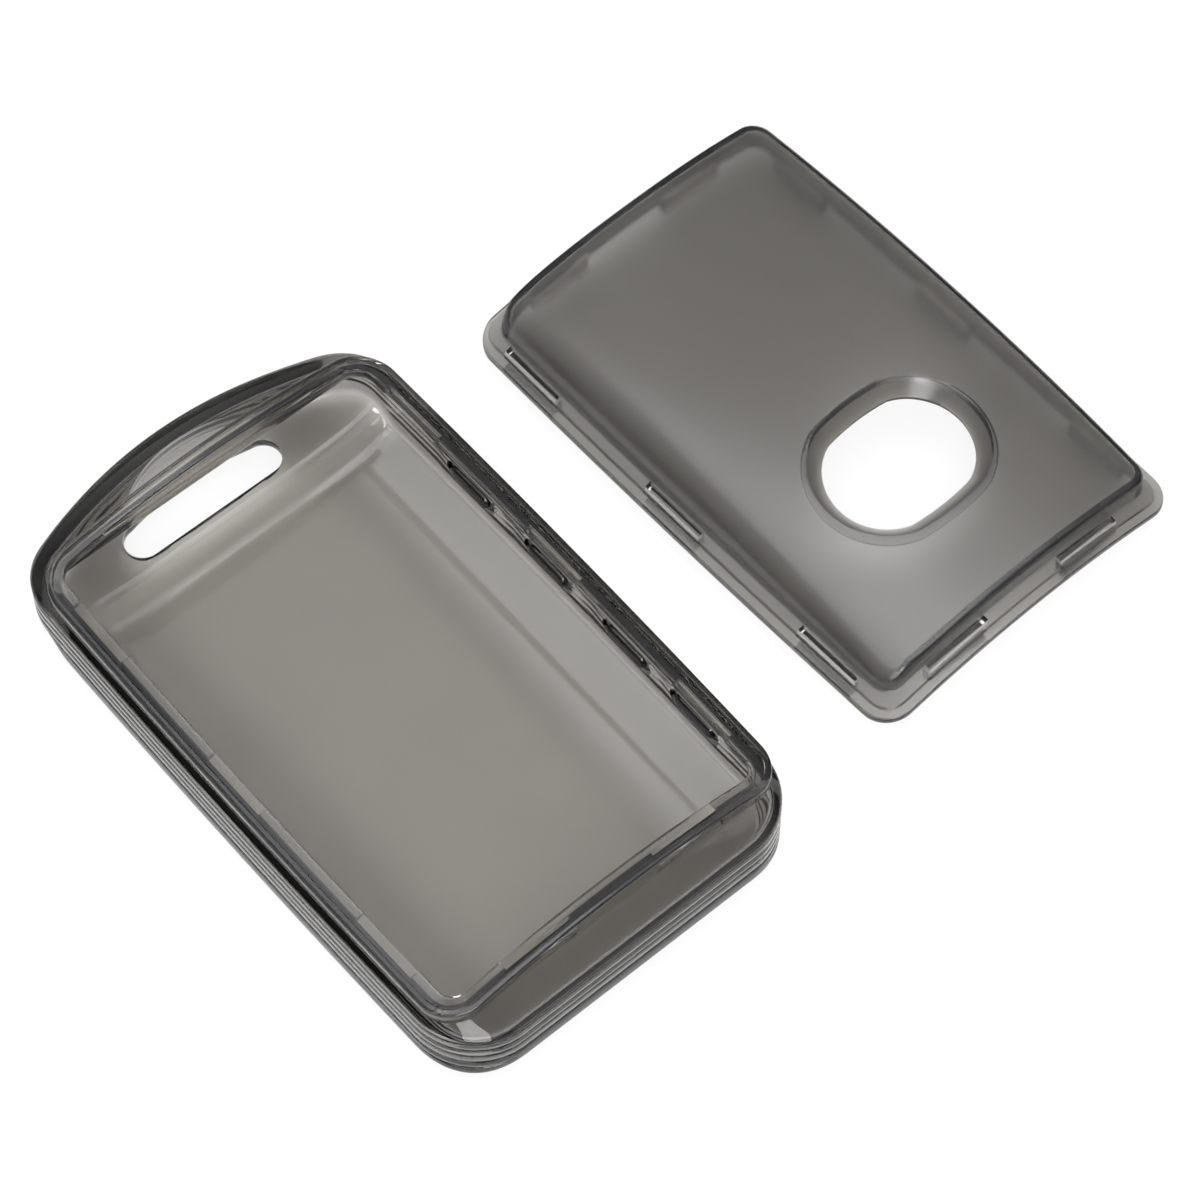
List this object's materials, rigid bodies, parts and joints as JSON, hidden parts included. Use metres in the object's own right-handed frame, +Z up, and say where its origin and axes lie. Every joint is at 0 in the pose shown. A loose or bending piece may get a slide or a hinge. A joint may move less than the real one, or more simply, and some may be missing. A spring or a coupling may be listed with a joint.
{
  "type": "key fob cover",
  "caption": "Two-piece snap cover for a slab-shaped remote key: a smoky clear tray with ribbed sides, side press pads and a key-ring ear, and a domed lid with an oval window.",
  "frame": {"origin": "middle of the flat of the tray's base, on the surface that both pieces lie on", "axes": "+Z up out of the tray's opening, +Y towards the key-ring ear, +X towards the lid and through the wall with the press pads"},
  "size_m": [0.112, 0.086, 0.0166],
  "materials": {
    "smoke_tray": "polished, smoky see-through flexible plastic",
    "smoke_lid": "polished, smoky see-through flexible plastic",
    "smoke_pad": "satin, smoky see-through flexible plastic"
  },
  "bodies": {
    "tray": {"base_tray": "smoke_tray"},
    "lid": {"front_lid": "smoke_lid"},
    "pad_1": {"press_pad_1": "smoke_pad"},
    "pad_2": {"press_pad_2": "smoke_pad"},
    "pad_3": {"press_pad_3": "smoke_pad"},
    "pad_4": {"press_pad_4": "smoke_pad"}
  },
  "joints": [
    {"name": "lid_lift", "type": "slide", "parent": "tray", "child": "lid", "axis": [0, 0, 1], "range_m": [0, 0.06]},
    {"name": "pad_1_press", "type": "slide", "parent": "tray", "child": "pad_1", "axis": [-1, 0, 0], "range_m": [0, 0.0008], "stiffness_N_per_m": 800},
    {"name": "pad_2_press", "type": "slide", "parent": "tray", "child": "pad_2", "axis": [-1, 0, 0], "range_m": [0, 0.0008], "stiffness_N_per_m": 800},
    {"name": "pad_3_press", "type": "slide", "parent": "tray", "child": "pad_3", "axis": [-1, 0, 0], "range_m": [0, 0.0008], "stiffness_N_per_m": 800},
    {"name": "pad_4_press", "type": "slide", "parent": "tray", "child": "pad_4", "axis": [-1, 0, 0], "range_m": [0, 0.0008], "stiffness_N_per_m": 800}
  ]
}
